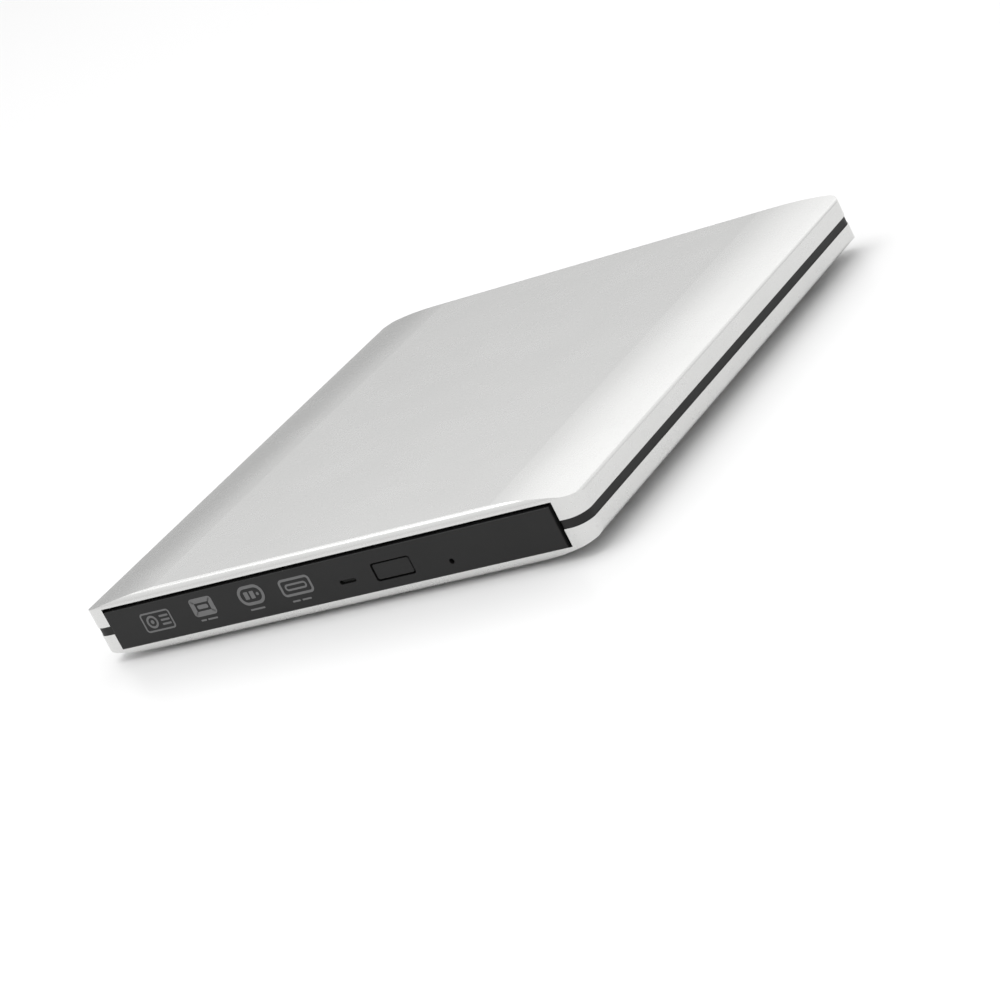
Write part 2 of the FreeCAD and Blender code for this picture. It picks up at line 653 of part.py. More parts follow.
# ---------------------------------------------------------------- disc motor
def make_motor():
    base = join([
        spindle_disc(plate_low, plate_high, 3.18),
        spindle_disc(plate_high, plate_high + 0.2, 13.0),
    ])
    sleeve = spindle_disc(plate_high, 8.3, 3.0)
    keep("motor_base", join([base, sleeve]).cut(spindle_disc(plate_high + 0.1, 9, 1.56)))
    core = spindle_disc(6.6, 7.9, 5.2)
    teeth = []
    for i in range(9):
        arm = box(4.0, 11.6, disc_y - 0.8, disc_y + 0.8, 6.6, 7.9)
        shoe = box(10.4, 11.9, disc_y - 3.2, disc_y + 3.2, 6.6, 7.9).common(spindle_disc(6, 9, 11.9))
        tooth = join([arm, shoe])
        tooth.rotate(spindle, Z_AXIS, i * 40.0)
        teeth.append(tooth)
    keep("motor_stator", join([core] + teeth).cut(spindle_disc(6, 9, 3.02)))
    coils = []
    for i in range(9):
        coil = box(5.9, 9.9, disc_y - 1.5, disc_y + 1.5, 6.3, 8.2)
        coil = coil.cut(box(5, 11, disc_y - 0.82, disc_y + 0.82, 6.58, 7.92))
        coil.rotate(spindle, Z_AXIS, i * 40.0)
        coils.append(coil)
    keep("motor_coils", Part.Compound(coils))


def make_rotor():
    cup = spindle_disc(rotor_low, rotor_top, rotor_radius).cut(spindle_disc(5, 8.6, 12.6))
    keep("rotor_cup", join([cup, spindle_disc(plate_high + 0.25, 8.7, 1.5)]))
    table = spindle_disc(rotor_top, turntable_top, turntable_radius)
    rim = [e for e in table.Edges if abs(e.CenterOfMass.z - turntable_top) < 0.01 and e.Closed]
    table = table.makeChamfer(0.25, rim)
    ring_shape = spindle_disc(turntable_top, disc_seat, 14.2).cut(spindle_disc(9, 11, 11.0))
    keep("friction_ring", ring_shape)
    boss = spindle_disc(turntable_top, hub_top, hub_radius)
    crown = [e for e in boss.Edges if abs(e.CenterOfMass.z - hub_top) < 0.01 and e.Closed]
    boss = boss.makeChamfer(0.5, crown)
    slots = []
    for i in range(claw_count):
        slot = box(3.9, hub_radius + 1, disc_y - 1.3, disc_y + 1.3, claw_low - 0.05, hub_top + 1)
        slot.rotate(spindle, Z_AXIS, claw_angle(i))
        slots.append(slot)
    dimple = spindle_disc(hub_top - 0.4, hub_top + 1, 2.4)
    keep("turntable_hub", join([table, boss.cut(slots + [dimple])]))


def claw_angle(index):
    return 90.0 + index * 360.0 / claw_count


def make_claws():
    """Three spring-loaded claws whose noses stand just outside the hub and snap over the disc's hole."""
    low, high, nose = claw_low, hub_top - 0.1, hub_radius + claw_reach
    for i in range(claw_count):
        profile = Part.makePolygon([
            V(4.3, disc_y - 1.2, low), V(7.1, disc_y - 1.2, low), V(nose, disc_y - 1.2, low + 0.55),
            V(nose - 0.05, disc_y - 1.2, low + 0.75), V(6.7, disc_y - 1.2, high), V(4.3, disc_y - 1.2, high),
            V(4.3, disc_y - 1.2, low),
        ])
        claw = Part.Face(profile).extrude(V(0, 2.4, 0))
        claw.rotate(spindle, Z_AXIS, claw_angle(i))
        keep(f"hub_claw_{i + 1}", claw)


# ---------------------------------------------------------------- pickup and its drive
def make_traverse_frame():
    plate = along_sled(-24, 66, -27.5, 28.5, plate_low, plate_high)
    limit = box(-59.2, 28.2, tray_front + 2.0, bay_back - 2.0, 0, 20)
    keyhole = to_sled_direction(rounded_plate(15.5, 60.2, disc_y - 20, disc_y + 20, 0, 20, 1.5))
    holes = [to_sled_direction(post(u, disc_y + v, 0, 20, 0.8)) for u, v in traverse_mounts]
    lift = spindle_disc(0, 20, 3.2)
    holders = []
    for v in (-rod_offset, rod_offset):
        for u in (rod_start, rod_end - 2):
            block = box(u, u + 2, disc_y + v - 1.3, disc_y + v + 1.3, plate_high, rod_z + 1.2)
            bore = rod(V(u - 1, disc_y + v, rod_z), V(u + 3, disc_y + v, rod_z), rod_radius)
            holders.append(to_sled_direction(block.cut(bore)))
    rods = []
    for v in (-rod_offset, rod_offset):
        rods.append(to_sled_direction(
            rod(V(rod_start, disc_y + v, rod_z), V(rod_end, disc_y + v, rod_z), rod_radius)
        ))
    keep("guide_rods", Part.Compound(rods))
    bearing = box(
        screw_end, screw_end + 1.6, disc_y + screw_offset - 1.4, disc_y + screw_offset + 1.4,
        plate_high, rod_z + 1.3,
    )
    bearing_y = disc_y + screw_offset
    seat = rod(V(screw_end - 0.1, bearing_y, rod_z), V(screw_end + 0.9, bearing_y, rod_z), 0.53)
    plate = plate.common(limit).cut([keyhole, lift] + holes)
    keep("traverse_frame", join([plate, to_sled_direction(bearing.cut(seat))] + holders))


def make_dampers():
    rings, screws = [], []
    for x, y in under_screw_places:
        head = post(x, y, tray_under - 0.65, tray_under - 0.4, 0.8)
        screws.append(join([head, post(x, y, tray_under - 0.4, 7.6, 0.45)]))
    for u, v in traverse_mounts:
        ring_shape = post(u, disc_y + v, plate_high + 0.02, tray_floor_under, 2.5)
        rings.append(to_sled_direction(ring_shape.cut(post(u, disc_y + v, 0, 20, 1.34))))
        head = post(u, disc_y + v, plate_low - 0.4, plate_low, 1.9)
        shank = post(u, disc_y + v, plate_low, 7.6, 0.75)
        recess = cross_recess(u, disc_y + v, plate_low - 1, plate_low - 0.2, 1.6, 0.35)
        screws.append(to_sled_direction(join([head, shank]).cut(recess)))
    keep("rubber_dampers", Part.Compound(rings))
    keep("tray_screws", Part.Compound(screws))


def make_traverse_cover():
    """Thin plate in the middle of the disc well, open round the turntable and the pickup's path."""
    low, high = 9.0, 9.4
    round_part = spindle_disc(low, high, 18.3)
    long_part = to_sled_direction(rounded_plate(0, 61.7, disc_y - 17.3, disc_y + 17.3, low, high, 3.7))
    path = to_sled_direction(rounded_plate(5, 59.5, disc_y - 7.0, disc_y + 7.0, 0, 20, 1.5))
    plate = join([round_part, long_part]).cut([spindle_disc(0, 20, 15.5), path])
    legs = [along_sled(60.4, 61.6, v - 2, v + 2, plate_high, low + 0.1) for v in (-13.0, 13.0)]
    legs += [along_sled(-17.4, -16.4, v - 2, v + 2, plate_high, low + 0.1) for v in (-3.0, 3.0)]
    keep("traverse_cover", join([plate] + legs))


def make_sled():
    a = lens_start
    low, high = 5.95, 8.8
    body = box(a - 8.5, a + 2.0, disc_y - 13.5, disc_y + 13.5, low, high)
    ears = []
    for sign in (-1, 1):
        v0, v1 = sorted((sign * 13.4, sign * 19.2))
        ears.append(box(a - 7.0, a + 2.0, disc_y + v0, disc_y + v1, low, 8.1))
    bores = [
        rod(V(a - 20, disc_y + v, rod_z), V(a + 20, disc_y + v, rod_z), rod_radius + 0.04)
        for v in (-rod_offset, rod_offset)
    ]
    pocket = box(a - 6.5, a + 5, disc_y - 6.4, disc_y + 6.4, 7.1, high + 1)
    laser = rod(V(a - 4, disc_y - 15, 7.4), V(a - 4, disc_y - 9.5, 7.4), 1.2)
    sensor = box(a - 7.5, a - 1.5, disc_y + 8.5, disc_y + 14, 6.6, 8.2)
    follower = box(a - 5.5, a - 0.5, disc_y + 19.1, disc_y + 20.3, 6.0, 7.8)
    casting = join([body, follower] + ears).cut(bores + [pocket, laser, sensor])
    keep("pickup_casting", to_sled_direction(casting))
    diode = rod(V(a - 4, disc_y - 13.4, 7.4), V(a - 4, disc_y - 9.6, 7.4), 1.15)
    sensor_block = along_sled(a - 7.4, a - 1.6, 8.6, 13.4, 6.65, 8.15)
    keep("laser_and_sensor", Part.Compound([to_sled_direction(diode), sensor_block]))
    magnets = [
        along_sled(a - 6.3, a - 5.1, -4.5, 4.5, 7.15, 8.9),
        along_sled(a + 0.9, a + 1.9, -4.5, -2.6, 7.15, 8.9),
        along_sled(a + 0.9, a + 1.9, 2.6, 4.5, 7.15, 8.9),
    ]
    keep("focus_magnets", Part.Compound(magnets))


def make_lens():
    a = lens_start - 2.0
    block = box(a - 2.6, a + 2.6, disc_y - 4.2, disc_y + 4.2, 7.5, 9.1)
    collar = post(a, disc_y, 9.0, 9.4, 2.5)
    bore = post(a, disc_y, 7, 10, 1.95)
    keep("lens_holder", to_sled_direction(join([block, collar]).cut(bore)))
    glass = post(a, disc_y, 8.2, 9.2, 1.93)
    dome = Part.makeSphere(3.6, V(a, disc_y, 6.05)).common(post(a, disc_y, 9.1, 9.7, 1.93))
    keep("pickup_lens", to_sled_direction(join([glass, dome])))


def make_screw():
    """Lead screw with one deep thread, and the stepper motor that turns it."""
    start, root = 6.6, screw_radius - 0.28
    core = Part.makeCylinder(root, screw_end - start - 1.0, V(0, 0, 0), Z_AXIS)
    helix = Part.makeHelix(screw_pitch, screw_end - start - 5, root + 0.12)
    wire = Part.makePolygon([
        V(root - 0.1, 0, -0.42), V(screw_radius, 0, -0.16), V(screw_radius, 0, 0.16),
        V(root - 0.1, 0, 0.42), V(root - 0.1, 0, -0.42),
    ])
    thread = Part.Wire(helix.Edges).makePipeShell([Part.Wire(wire.Edges)], True, True)
    thread.translate(V(0, 0, 1.5))
    tip = Part.makeCylinder(0.5, 1.8, V(0, 0, screw_end - start - 1.1), Z_AXIS)
    solid = join([core, tip, Part.makeCylinder(0.7, 0.8, V(0, 0, -0.8), Z_AXIS)]).fuse(thread)
    solid.rotate(V(0, 0, 0), Y_AXIS, 90)
    solid.translate(V(start, disc_y + screw_offset, rod_z))
    keep("lead_screw", to_sled_direction(solid))
    body = rod(V(-8, disc_y + screw_offset, rod_z), V(5.6, disc_y + screw_offset, rod_z), 3.1)
    body = body.common(box(-9, 7, disc_y, disc_y + 40, plate_high, 8.3))
    bore = rod(V(4.4, disc_y + screw_offset, rod_z), V(7, disc_y + screw_offset, rod_z), 0.9)
    keep("sled_motor", to_sled_direction(body.cut(bore)))


# ---------------------------------------------------------------- tray lock
def make_latch():
    """Lever that hooks behind the fixed post; a solenoid pulls it free. Saved in the released position."""
    pivot = V(latch_x, latch_y, 0)
    outline_points = [
        (-1.5, 1.5), (1.5, 1.5), (1.5, -5.4), (5.5, -8.8), (5.5, -9.4), (-1.5, -9.4),
        (-1.5, -1.0), (-17.3, -1.6), (-17.3, -0.4), (-1.5, 1.0), (-1.5, 1.5),
    ]
    wire = Part.makePolygon([V(latch_x + x, latch_y + y, latch_low) for x, y in outline_points])
    arm = Part.Face(wire).extrude(V(0, 0, latch_high - latch_low))
    hub = post(latch_x, latch_y, latch_low, latch_high + 0.8, 2.2)
    slot = box(latch_x - 0.62, latch_x + 0.62, latch_y - 6.7, latch_y - 4.6, 5, 7)
    lever = join([arm, hub]).cut([slot, post(latch_x, latch_y, 5, 9, 0.85)])
    lever.rotate(pivot, Z_AXIS, -latch_release)
    keep("latch_lever", lever)
    rod_y = latch_y - 5.7
    plunger = join([
        rod(V(42.0, rod_y, plunger_z), V(48.6, rod_y, plunger_z), 0.9),
        box(48.1, latch_x + 0.9, rod_y - 0.7, rod_y + 0.7, 6.75, 7.15),
        post(latch_x, rod_y, 5.7, 6.8, 0.5),
    ])
    plunger.translate(V(-plunger_stroke, 0, 0))
    keep("solenoid_plunger", plunger)
    frame = box(36.8, 45.8, rod_y - 3.0, rod_y + 3.0, 4.9, tray_floor_under)
    window = box(37.6, 45.0, rod_y - 3.1, rod_y + 3.1, 5.3, 8.0)
    hole = rod(V(44, rod_y, plunger_z), V(47, rod_y, plunger_z), 1.0)
    keep("solenoid_frame", frame.cut([window, hole]))
    coil = box(37.7, 44.9, rod_y - 2.7, rod_y + 2.7, 5.35, 7.95)
    bore = rod(V(38.8, rod_y, plunger_z), V(47, rod_y, plunger_z), 1.0)
    keep("solenoid_coil", coil.cut(bore))


def make_ejector():
    """Spring-loaded rod at the back of the tray that starts the tray moving when the latch lets go."""
    start, end = ejector_lugs[0] - 0.6, tray_back - 0.2
    shaft = rod(V(ejector_x, start, ejector_z), V(ejector_x, end, ejector_z), 0.6)
    stop_at = ejector_lugs[0] + 2.0
    stop = rod(V(ejector_x, stop_at, ejector_z), V(ejector_x, stop_at + 0.8, ejector_z), 1.3)
    keep("ejector_rod", join([shaft, stop]))
    first, last = ejector_lugs[0] + 3.05, ejector_lugs[1] - 0.25
    helix = Part.makeHelix(1.5, last - first, 1.0)
    section = Part.Wire(Part.makeCircle(0.15, V(1.0, 0, 0), V(0, 1, 0)))
    coil = Part.Wire(helix.Edges).makePipeShell([section], True, False)
    coil.rotate(V(0, 0, 0), X_AXIS, -90)
    coil.translate(V(ejector_x, first, ejector_z))
    keep("ejector_spring", coil)


# ---------------------------------------------------------------- telescoping rails
def make_rails():
    for name, sign in (("left", -1), ("right", 1)):
        x0, x1 = sorted((sign * 62.2, sign * 62.6))
        f0, f1 = sorted((sign * 61.4, sign * 62.6))
        web = box(x0, x1, rail_front, rail_back, rail_low, rail_high)
        lower = box(f0, f1, rail_front, rail_back, rail_low, rail_low + rail_sheet)
        upper = box(f0, f1, rail_front, rail_back, rail_high - rail_sheet, rail_high)
        keep(f"slide_rail_{name}", join([web, lower, upper]))


def main():
    os.makedirs("parts", exist_ok=True)
    make_shells()
    make_band()
    make_feet_and_screws()
    make_foam()
    make_bridge_board()
    make_usb_socket()
    make_power_jack()
    make_sata_link()
    make_drive_shell()
    make_rail_guides()
    make_drive_board()
    make_ribbon()
    make_tray()
    make_under_cover()
    make_bezel()
    make_button()
    make_front_board()
    make_tray_board()
    make_motor()
    make_rotor()
    make_claws()
    make_traverse_frame()
    make_dampers()
    make_traverse_cover()
    make_sled()
    make_lens()
    make_screw()
    make_latch()
    make_ejector()
    make_rails()


main()
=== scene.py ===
# %% [markdown]
# # A slim external disc drive
# The drive is a thin box of two bead-blasted aluminium shells with a black band between them.
# A black front panel carries an eject button, a small lamp and four printed marks, and behind it
# a tray slides out with the disc motor and the laser pickup. The solid model gives every part its
# true size and place. This lesson gives the parts their finish, and models the small things that
# only show close up: the printed marks, the gold contacts, the grooves in the feet, the ribbon.

# %% Load the solid model
import json
import math

import bmesh
import bpy
from mathutils import Matrix, Vector


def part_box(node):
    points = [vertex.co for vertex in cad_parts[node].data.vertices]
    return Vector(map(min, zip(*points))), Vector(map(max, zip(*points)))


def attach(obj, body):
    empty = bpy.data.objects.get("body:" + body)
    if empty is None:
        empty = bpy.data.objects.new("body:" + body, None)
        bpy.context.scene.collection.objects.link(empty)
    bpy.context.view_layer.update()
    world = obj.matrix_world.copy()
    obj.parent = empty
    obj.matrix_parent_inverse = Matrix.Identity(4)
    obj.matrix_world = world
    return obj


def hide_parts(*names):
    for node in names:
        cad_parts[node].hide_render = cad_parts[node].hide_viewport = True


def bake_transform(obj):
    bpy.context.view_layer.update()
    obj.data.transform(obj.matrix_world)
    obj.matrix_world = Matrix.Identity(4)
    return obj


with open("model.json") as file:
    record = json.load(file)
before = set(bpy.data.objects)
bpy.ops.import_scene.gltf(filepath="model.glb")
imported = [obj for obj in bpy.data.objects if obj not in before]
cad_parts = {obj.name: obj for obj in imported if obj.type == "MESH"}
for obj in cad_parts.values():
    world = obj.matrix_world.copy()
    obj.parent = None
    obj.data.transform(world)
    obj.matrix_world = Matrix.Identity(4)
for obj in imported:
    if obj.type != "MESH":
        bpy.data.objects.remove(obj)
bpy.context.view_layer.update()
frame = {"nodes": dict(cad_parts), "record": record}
nodes = frame["nodes"]
MM = 0.001

# %% [markdown]
# ## The camera
# A long lens a little to the right of the front and above the drive shows the top, the front
# panel and the right side together. The camera leans, so the drive seems to rise to the right.
# The three directions below are the camera's own right, down and forward, as unit vectors.

# %% Camera
camera_place = Vector((0.46557, -0.59067, 0.22364))
camera_right = Vector((0.7813100, 0.4491417, -0.4333894))
camera_down = Vector((-0.1898686, -0.4904283, -0.8505469))
camera_forward = Vector((-0.5945625, 0.7468279, -0.2978986))
camera_data = bpy.data.cameras.new("camera")
camera_data.lens = 121.53
camera_data.sensor_width = 36.0
camera_data.clip_start = 0.05
camera_data.clip_end = 60.0
camera = bpy.data.objects.new("camera", camera_data)
turn = Matrix((camera_right, -camera_down, -camera_forward)).transposed()
camera.matrix_world = Matrix.Translation(camera_place) @ turn.to_4x4()
bpy.context.scene.collection.objects.link(camera)
bpy.context.scene.camera = camera
print("camera distance in mm:", round(camera_place.length / MM))

# %% [markdown]
# ## Helpers for modelling
# An operator works on everything that is selected, and loading leaves the solid parts selected.
# So each piece starts by clearing the selection. A finished piece keeps its place in its mesh and
# its object at the origin, so that patterns made from Object coordinates stay where they are.

# %% Helpers
SAME_PLACE = 0.01 * MM  # two middles nearer than this count as one place


def clear_selection():
    if bpy.context.object and bpy.context.object.mode != "OBJECT":
        bpy.ops.object.mode_set(mode="OBJECT")
    bpy.ops.object.select_all(action="DESELECT")


def settle(piece, smooth_angle=None):
    """Moves the object's place into its mesh, and optionally smooths what is rounder than an angle."""
    clear_selection()
    piece.select_set(True)
    bpy.context.view_layer.objects.active = piece
    bpy.ops.object.transform_apply(location=True, rotation=True, scale=True)
    if smooth_angle is not None:
        bpy.ops.object.shade_smooth_by_angle(angle=math.radians(smooth_angle))
    return piece


def apply_modifier(piece, kind, **values):
    clear_selection()
    piece.select_set(True)
    bpy.context.view_layer.objects.active = piece
    modifier = piece.modifiers.new(kind.lower(), kind)
    for key, value in values.items():
        setattr(modifier, key, value)
    bpy.ops.object.modifier_apply(modifier=modifier.name)


def join_pieces(pieces, name):
    clear_selection()
    for piece in pieces:
        piece.select_set(True)
    bpy.context.view_layer.objects.active = pieces[0]
    if len(pieces) > 1:
        bpy.ops.object.join()
    joined = bpy.context.view_layer.objects.active
    joined.name = name
    return settle(joined)


def edit(piece):
    """Opens a piece for editing with everything in it selected."""
    clear_selection()
    piece.select_set(True)
    bpy.context.view_layer.objects.active = piece
    bpy.ops.object.mode_set(mode="EDIT")
    bpy.ops.mesh.select_all(action="SELECT")


def pick(piece, kind, test):
    """In edit mode, selects only the faces or edges whose middle passes the test."""
    bpy.ops.mesh.select_all(action="DESELECT")
    bpy.context.tool_settings.mesh_select_mode = (False, kind == "edges", kind == "faces")
    mesh = bmesh.from_edit_mesh(piece.data)
    for element in getattr(mesh, kind):
        points = [v.co for v in element.verts]
        if test(sum(points, Vector()) / len(points)):
            element.select_set(True)
    bmesh.update_edit_mesh(piece.data)


def copies(piece, places):
    """The piece and its copies, each with its own mesh, moved by the given steps and joined."""
    parts = []
    for step in places:
        part = bpy.data.objects.new(piece.name, piece.data.copy())
        part.data.transform(Matrix.Translation(step))
        bpy.context.scene.collection.objects.link(part)
        parts.append(part)
    name = piece.name
    bpy.data.objects.remove(piece)
    return join_pieces(parts, name)


print("helpers ready")

# %% [markdown]
# ## Shared surface patterns
# Each pattern is a node group: bead-blasted metal, moulded plastic, brushed sheet, and the faint
# dust and finger marks of a used object. A group only gives values that change over the surface.
# The shader itself stays in each material, where its constants are set directly.

# %% Node group helper
def new_group(name, inputs, outputs):
    """A shader node group with named number inputs and outputs."""
    group = bpy.data.node_groups.new(name, "ShaderNodeTree")
    for label, value in inputs:
        socket = group.interface.new_socket(name=label, in_out="INPUT", socket_type="NodeSocketFloat")
        socket.default_value = value
    for label in outputs:
        group.interface.new_socket(name=label, in_out="OUTPUT", socket_type="NodeSocketFloat")
    return group, group.nodes.new("NodeGroupInput"), group.nodes.new("NodeGroupOutput")


def add(tree, kind, **values):
    node = tree.nodes.new(kind)
    for key, value in values.items():
        setattr(node, key, value)
    return node


def millimetres(tree):
    """Object coordinates counted in millimetres."""
    place = add(tree, "ShaderNodeTexCoord")
    scaled = add(tree, "ShaderNodeVectorMath", operation="SCALE")
    scaled.inputs["Scale"].default_value = 1 / MM
    tree.links.new(place.outputs["Object"], scaled.inputs[0])
    return scaled.outputs["Vector"]


def per_size(tree, size):
    """One over a size, which is the Scale that makes a texture's features that large."""
    divide = add(tree, "ShaderNodeMath", operation="DIVIDE")
    divide.inputs[0].default_value = 1.0
    tree.links.new(size, divide.inputs[1])
    return divide.outputs[0]


def noise(tree, vector, scale, detail=2.0, rough=0.5):
    texture = add(tree, "ShaderNodeTexNoise")
    texture.inputs["Detail"].default_value = detail
    texture.inputs["Roughness"].default_value = rough
    tree.links.new(vector, texture.inputs["Vector"])
    if isinstance(scale, float):
        texture.inputs["Scale"].default_value = scale
    else:
        tree.links.new(scale, texture.inputs["Scale"])
    return texture.outputs["Fac"]


def blend_values(tree, a, b, share):
    """The first value blended with the second; a Mix node keeps its number sockets at 2 and 3."""
    mix = add(tree, "ShaderNodeMix", data_type="FLOAT")
    mix.inputs["Factor"].default_value = share
    tree.links.new(a, mix.inputs[2])
    tree.links.new(b, mix.inputs[3])
    return mix.outputs[0]


COLOUR_A, COLOUR_B, COLOUR_OUT = 6, 7, 2  # where a Mix node keeps its colour sockets
print("group helpers ready")

# %% Bead-blasted metal
blasted, blasted_in, blasted_out = new_group(
    "Blasted metal", [("Bead mm", 0.35), ("Cloud mm", 18.0)], ["Height", "Sparkle", "Cloud"]
)
place = millimetres(blasted)
bead = noise(blasted, place, per_size(blasted, blasted_in.outputs["Bead mm"]), 3.0, 0.6)
dents = add(blasted, "ShaderNodeTexVoronoi", feature="SMOOTH_F1")
blasted.links.new(place, dents.inputs["Vector"])
blasted.links.new(per_size(blasted, blasted_in.outputs["Bead mm"]), dents.inputs["Scale"])
height = blend_values(blasted, bead, dents.outputs["Distance"], 0.45)
mottle = noise(blasted, place, 0.9, 2.0)
cloud = noise(blasted, place, per_size(blasted, blasted_in.outputs["Cloud mm"]), 3.0)
blasted.links.new(height, blasted_out.inputs["Height"])
blasted.links.new(blend_values(blasted, bead, mottle, 0.5), blasted_out.inputs["Sparkle"])
blasted.links.new(blend_values(blasted, cloud, bead, 0.25), blasted_out.inputs["Cloud"])
print(blasted.name, "outputs", [o.name for o in blasted_out.inputs[:3]])

# %% Moulded plastic
moulded, moulded_in, moulded_out = new_group(
    "Moulded plastic", [("Grain mm", 0.22), ("Cloud mm", 12.0)], ["Height", "Sparkle", "Cloud"]
)
place = millimetres(moulded)
grain = noise(moulded, place, per_size(moulded, moulded_in.outputs["Grain mm"]), 4.0, 0.65)
cells = add(moulded, "ShaderNodeTexVoronoi", feature="F1")
moulded.links.new(place, cells.inputs["Vector"])
moulded.links.new(per_size(moulded, moulded_in.outputs["Grain mm"]), cells.inputs["Scale"])
skin = blend_values(moulded, grain, cells.outputs["Distance"], 0.3)
moulded.links.new(skin, moulded_out.inputs["Height"])
moulded.links.new(grain, moulded_out.inputs["Sparkle"])
cloud = noise(moulded, place, per_size(moulded, moulded_in.outputs["Cloud mm"]), 3.0)
moulded.links.new(cloud, moulded_out.inputs["Cloud"])
print(moulded.name, "ready")

# %% Brushed or drawn metal
brushed, brushed_in, brushed_out = new_group(
    "Brushed metal", [("Line mm", 0.12), ("Stretch", 40.0), ("Turn", 0.0)], ["Height", "Sparkle", "Cloud"]
)
place = millimetres(brushed)
turned = add(brushed, "ShaderNodeVectorRotate", rotation_type="Z_AXIS")
brushed.links.new(place, turned.inputs["Vector"])
brushed.links.new(brushed_in.outputs["Turn"], turned.inputs["Angle"])
split = add(brushed, "ShaderNodeSeparateXYZ")
brushed.links.new(turned.outputs["Vector"], split.inputs[0])
shorten = add(brushed, "ShaderNodeMath", operation="DIVIDE")
brushed.links.new(split.outputs["Y"], shorten.inputs[0])
brushed.links.new(brushed_in.outputs["Stretch"], shorten.inputs[1])
lines_at = add(brushed, "ShaderNodeCombineXYZ")
brushed.links.new(split.outputs["X"], lines_at.inputs["X"])
brushed.links.new(shorten.outputs[0], lines_at.inputs["Y"])
brushed.links.new(split.outputs["Z"], lines_at.inputs["Z"])
lines = noise(
    brushed, lines_at.outputs["Vector"], per_size(brushed, brushed_in.outputs["Line mm"]), 3.0, 0.7
)
brushed.links.new(lines, brushed_out.inputs["Height"])
brushed.links.new(lines, brushed_out.inputs["Sparkle"])
brushed.links.new(noise(brushed, place, 0.06, 3.0), brushed_out.inputs["Cloud"])
print(brushed.name, "ready")

# %% Dust and finger marks
used, used_in, used_out = new_group("Handling", [("Smudge mm", 14.0), ("Dust mm", 0.5)], ["Smudge", "Dust"])
place = millimetres(used)
smudge = noise(used, place, per_size(used, used_in.outputs["Smudge mm"]), 5.0, 0.6)
smudge_step = add(used, "ShaderNodeMapRange")
smudge_step.inputs["From Min"].default_value = 0.48
smudge_step.inputs["From Max"].default_value = 0.72
used.links.new(smudge, smudge_step.inputs["Value"])
specks = noise(used, place, per_size(used, used_in.outputs["Dust mm"]), 1.0)
speck_step = add(used, "ShaderNodeMapRange")
speck_step.inputs["From Min"].default_value = 0.72
speck_step.inputs["From Max"].default_value = 0.80
used.links.new(specks, speck_step.inputs["Value"])
facing = add(used, "ShaderNodeNewGeometry")
upward = add(used, "ShaderNodeSeparateXYZ")
used.links.new(facing.outputs["Normal"], upward.inputs[0])
settled = add(used, "ShaderNodeMath", operation="MULTIPLY", use_clamp=True)
used.links.new(speck_step.outputs[0], settled.inputs[0])
used.links.new(upward.outputs["Z"], settled.inputs[1])
used.links.new(smudge_step.outputs[0], used_out.inputs["Smudge"])
used.links.new(settled.outputs[0], used_out.inputs["Dust"])
print(used.name, "ready")

# %% [markdown]
# ## The finishes
# Every finish is built the same way. A surface pattern drives the colour between a darker and a
# lighter tone, the roughness between two limits, and a shallow bump. Finger marks raise the
# roughness in patches, and dust settles on what faces up. What differs is the pattern, the
# numbers, and whether the material is a metal.

# %% One function for all finishes
DUST_COLOUR = (0.62, 0.61, 0.58, 1.0)


def make_finish(
    name, pattern, dark, light, rough, bump_mm, metallic=0.0, strength=0.35, settings=None,
    pattern_values=None, smudge=0.06, dust=0.25, tone="Cloud",
):
    material = bpy.data.materials.new(name)
    material.use_nodes = True
    tree = material.node_tree
    shader = tree.nodes["Principled BSDF"]
    surface = add(tree, "ShaderNodeGroup", node_tree=pattern)
    for key, value in (pattern_values or {}).items():
        surface.inputs[key].default_value = value
    handling = add(tree, "ShaderNodeGroup", node_tree=used)

    colour = add(tree, "ShaderNodeMix", data_type="RGBA")
    colour.inputs[COLOUR_A].default_value = (*dark, 1.0)
    colour.inputs[COLOUR_B].default_value = (*light, 1.0)
    tree.links.new(surface.outputs[tone], colour.inputs["Factor"])
    dusty = add(tree, "ShaderNodeMix", data_type="RGBA")
    dusty.inputs[COLOUR_B].default_value = DUST_COLOUR
    amount = add(tree, "ShaderNodeMath", operation="MULTIPLY")
    amount.inputs[1].default_value = dust
    tree.links.new(handling.outputs["Dust"], amount.inputs[0])
    tree.links.new(amount.outputs[0], dusty.inputs["Factor"])
    tree.links.new(colour.outputs[COLOUR_OUT], dusty.inputs[COLOUR_A])
    tree.links.new(dusty.outputs[COLOUR_OUT], shader.inputs["Base Color"])

    gloss = add(tree, "ShaderNodeMapRange")
    gloss.inputs["To Min"].default_value = rough[0]
    gloss.inputs["To Max"].default_value = rough[1]
    tree.links.new(surface.outputs["Sparkle"], gloss.inputs["Value"])
    marked = add(tree, "ShaderNodeMath", operation="MULTIPLY_ADD")
    marked.inputs[1].default_value = smudge
    tree.links.new(handling.outputs["Smudge"], marked.inputs[0])
    tree.links.new(gloss.outputs[0], marked.inputs[2])
    tree.links.new(marked.outputs[0], shader.inputs["Roughness"])

    bump = add(tree, "ShaderNodeBump")
    bump.inputs["Strength"].default_value = strength
    bump.inputs["Distance"].default_value = bump_mm * MM
    tree.links.new(surface.outputs["Height"], bump.inputs["Height"])
    tree.links.new(bump.outputs["Normal"], shader.inputs["Normal"])
    shader.inputs["Metallic"].default_value = metallic
    for key, value in (settings or {}).items():
        shader.inputs[key].default_value = value
    return material


print("finish function ready")

